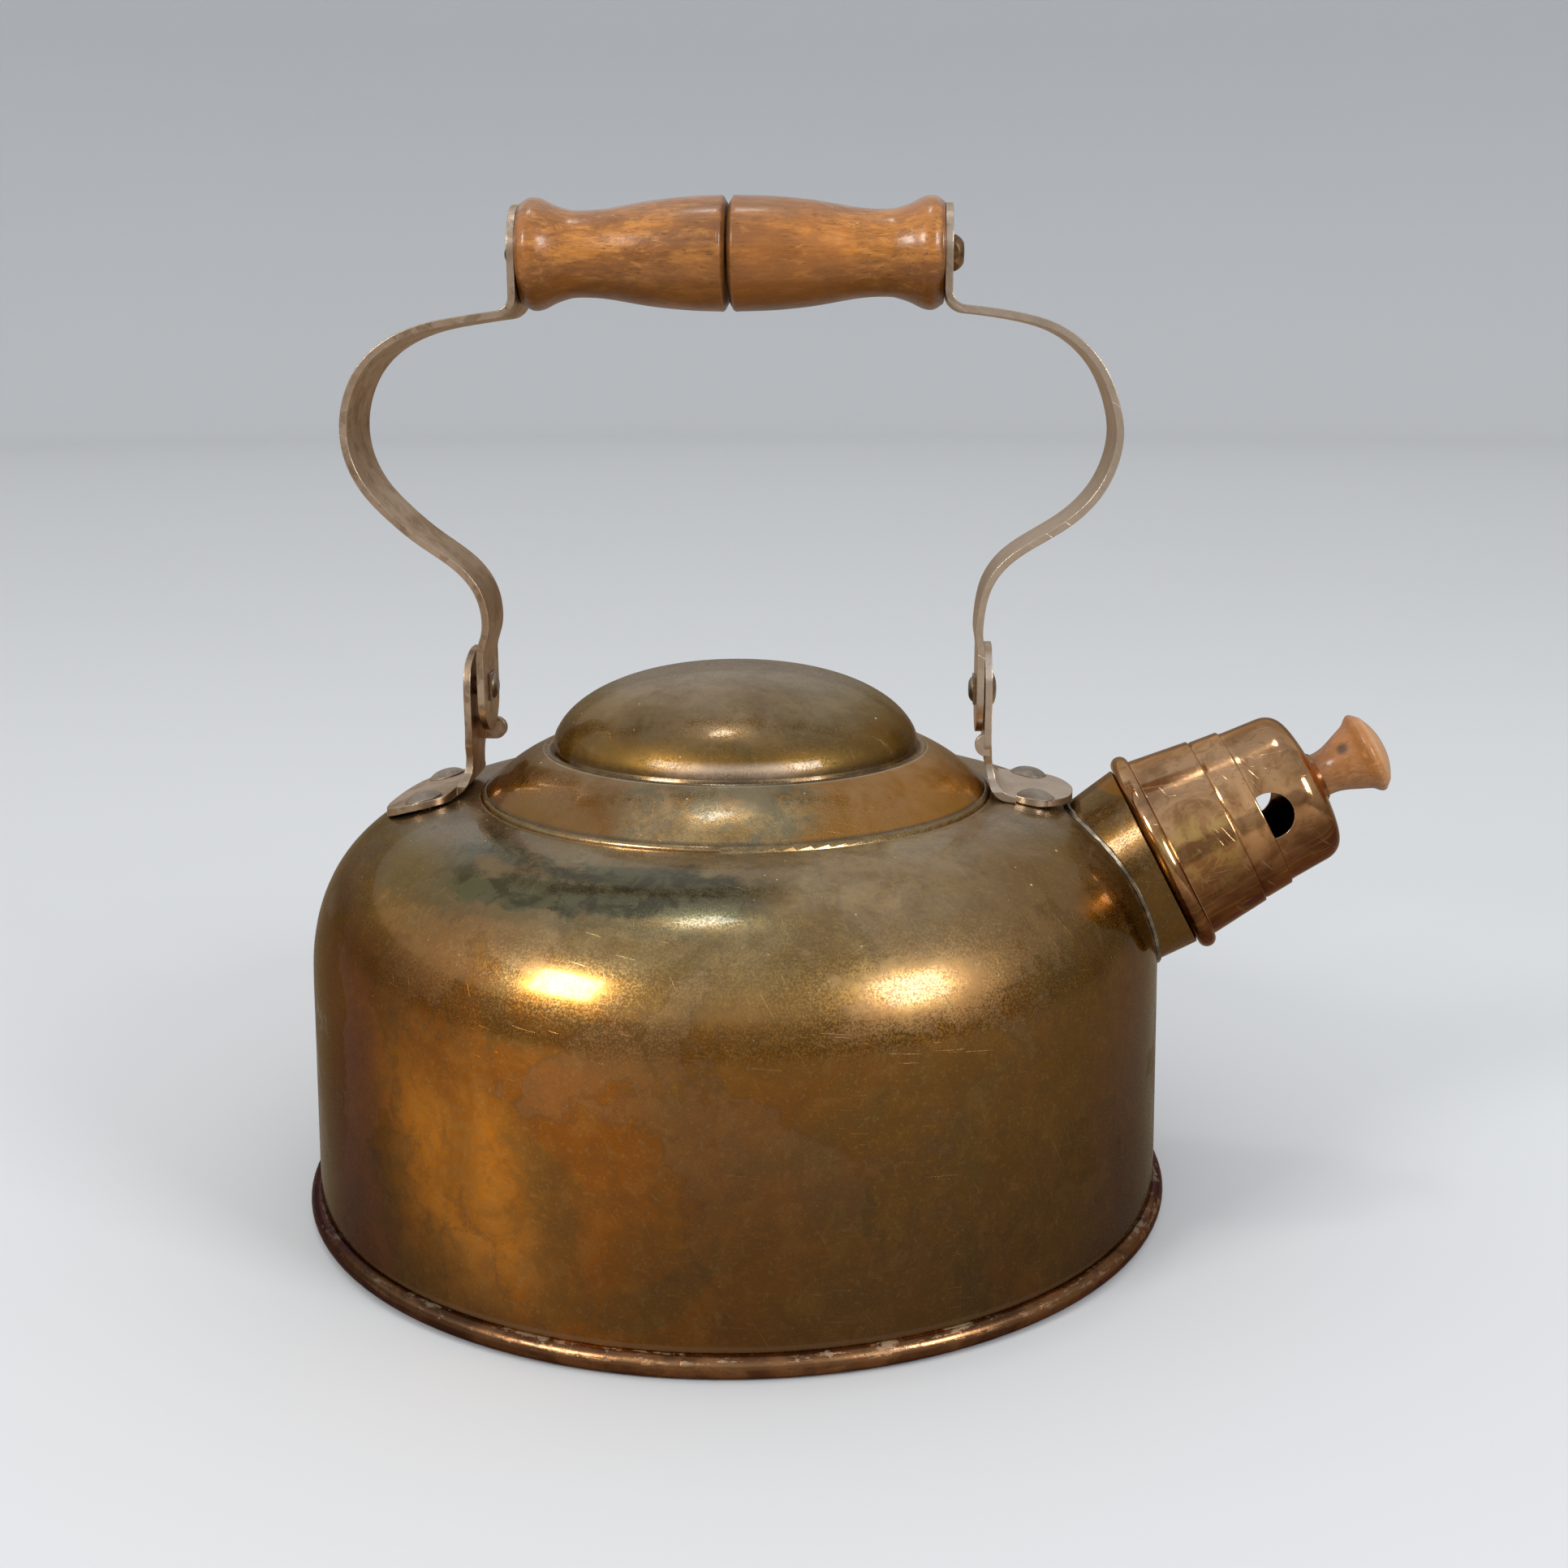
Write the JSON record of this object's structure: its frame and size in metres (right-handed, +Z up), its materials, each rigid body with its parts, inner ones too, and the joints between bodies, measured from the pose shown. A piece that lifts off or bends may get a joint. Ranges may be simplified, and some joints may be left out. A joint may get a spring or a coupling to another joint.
{
  "type": "whistling tea kettle",
  "caption": "Round copper whistling tea kettle with a slanted spout, a pull-off whistle cap and a folding bail handle with a turned wooden grip.",
  "frame": {"origin": "centre of the flat base, on the kettle's axis of revolution", "axes": "+Z up through the dome, +X towards the spout and along the handle's pivot line, +Y to the back"},
  "size_m": [0.2344, 0.1894, 0.2122],
  "materials": {
    "tarnished_copper": "aged, mottled, satin",
    "base_copper": "dark tarnished, semi-gloss",
    "solder": "dull solder",
    "cap_copper": "worn polished",
    "spring_brass": "plain",
    "tinned_disc": "dull tin",
    "knob_wood": "varnished, turned",
    "steel_hardware": "plain",
    "strap_brass": "worn, satin with bright edges",
    "grip_wood": "varnished, turned",
    "rod_brass": "aged",
    "bracket_brass": "aged, dusty, bright edges",
    "rivet_metal": "dull grey brass"
  },
  "bodies": {
    "kettle": {"body_shell": "tarnished_copper", "base_plate": "base_copper", "spout_tube": "tarnished_copper", "spout_solder_seam": "solder", "right_bracket": "bracket_brass", "left_bracket": "bracket_brass", "right_foot_rivets": "rivet_metal", "left_foot_rivets": "rivet_metal", "right_pivot_rivet": "rivet_metal", "right_pivot_washer": "rivet_metal", "left_pivot_rivet": "rivet_metal", "left_pivot_washer": "rivet_metal"},
    "handle": {"right_handle_strap": "strap_brass", "left_handle_strap": "strap_brass", "handle_rod": "rod_brass", "rod_nut": "rod_brass"},
    "grip_right": {"grip_right": "grip_wood"},
    "grip_left": {"grip_left": "grip_wood"},
    "whistle_cap": {"cap_skirt": "cap_copper", "cap_spring_sleeve": "spring_brass", "whistle_capsule": "cap_copper", "whistle_rear_disc": "tinned_disc", "whistle_front_disc": "tinned_disc", "cap_nose": "cap_copper", "whistle_knob": "knob_wood", "knob_washer": "steel_hardware", "knob_screw": "steel_hardware"}
  },
  "joints": [
    {"name": "handle_swing", "type": "hinge", "parent": "kettle", "child": "handle", "pos_m": [0, 0, 0.1107], "axis": [1, 0, 0], "range_deg": [-90, 90]},
    {"name": "grip_right_spin", "type": "hinge", "parent": "handle", "child": "grip_right", "pos_m": [0.0216, 0, 0.20065], "axis": [1, 0, 0], "continuous": true},
    {"name": "grip_left_spin", "type": "hinge", "parent": "handle", "child": "grip_left", "pos_m": [-0.0216, 0, 0.20065], "axis": [1, 0, 0], "continuous": true},
    {"name": "cap_pull", "type": "slide", "parent": "kettle", "child": "whistle_cap", "axis": [0.8839, 0, 0.4676], "range_m": [0, 0.05]}
  ]
}
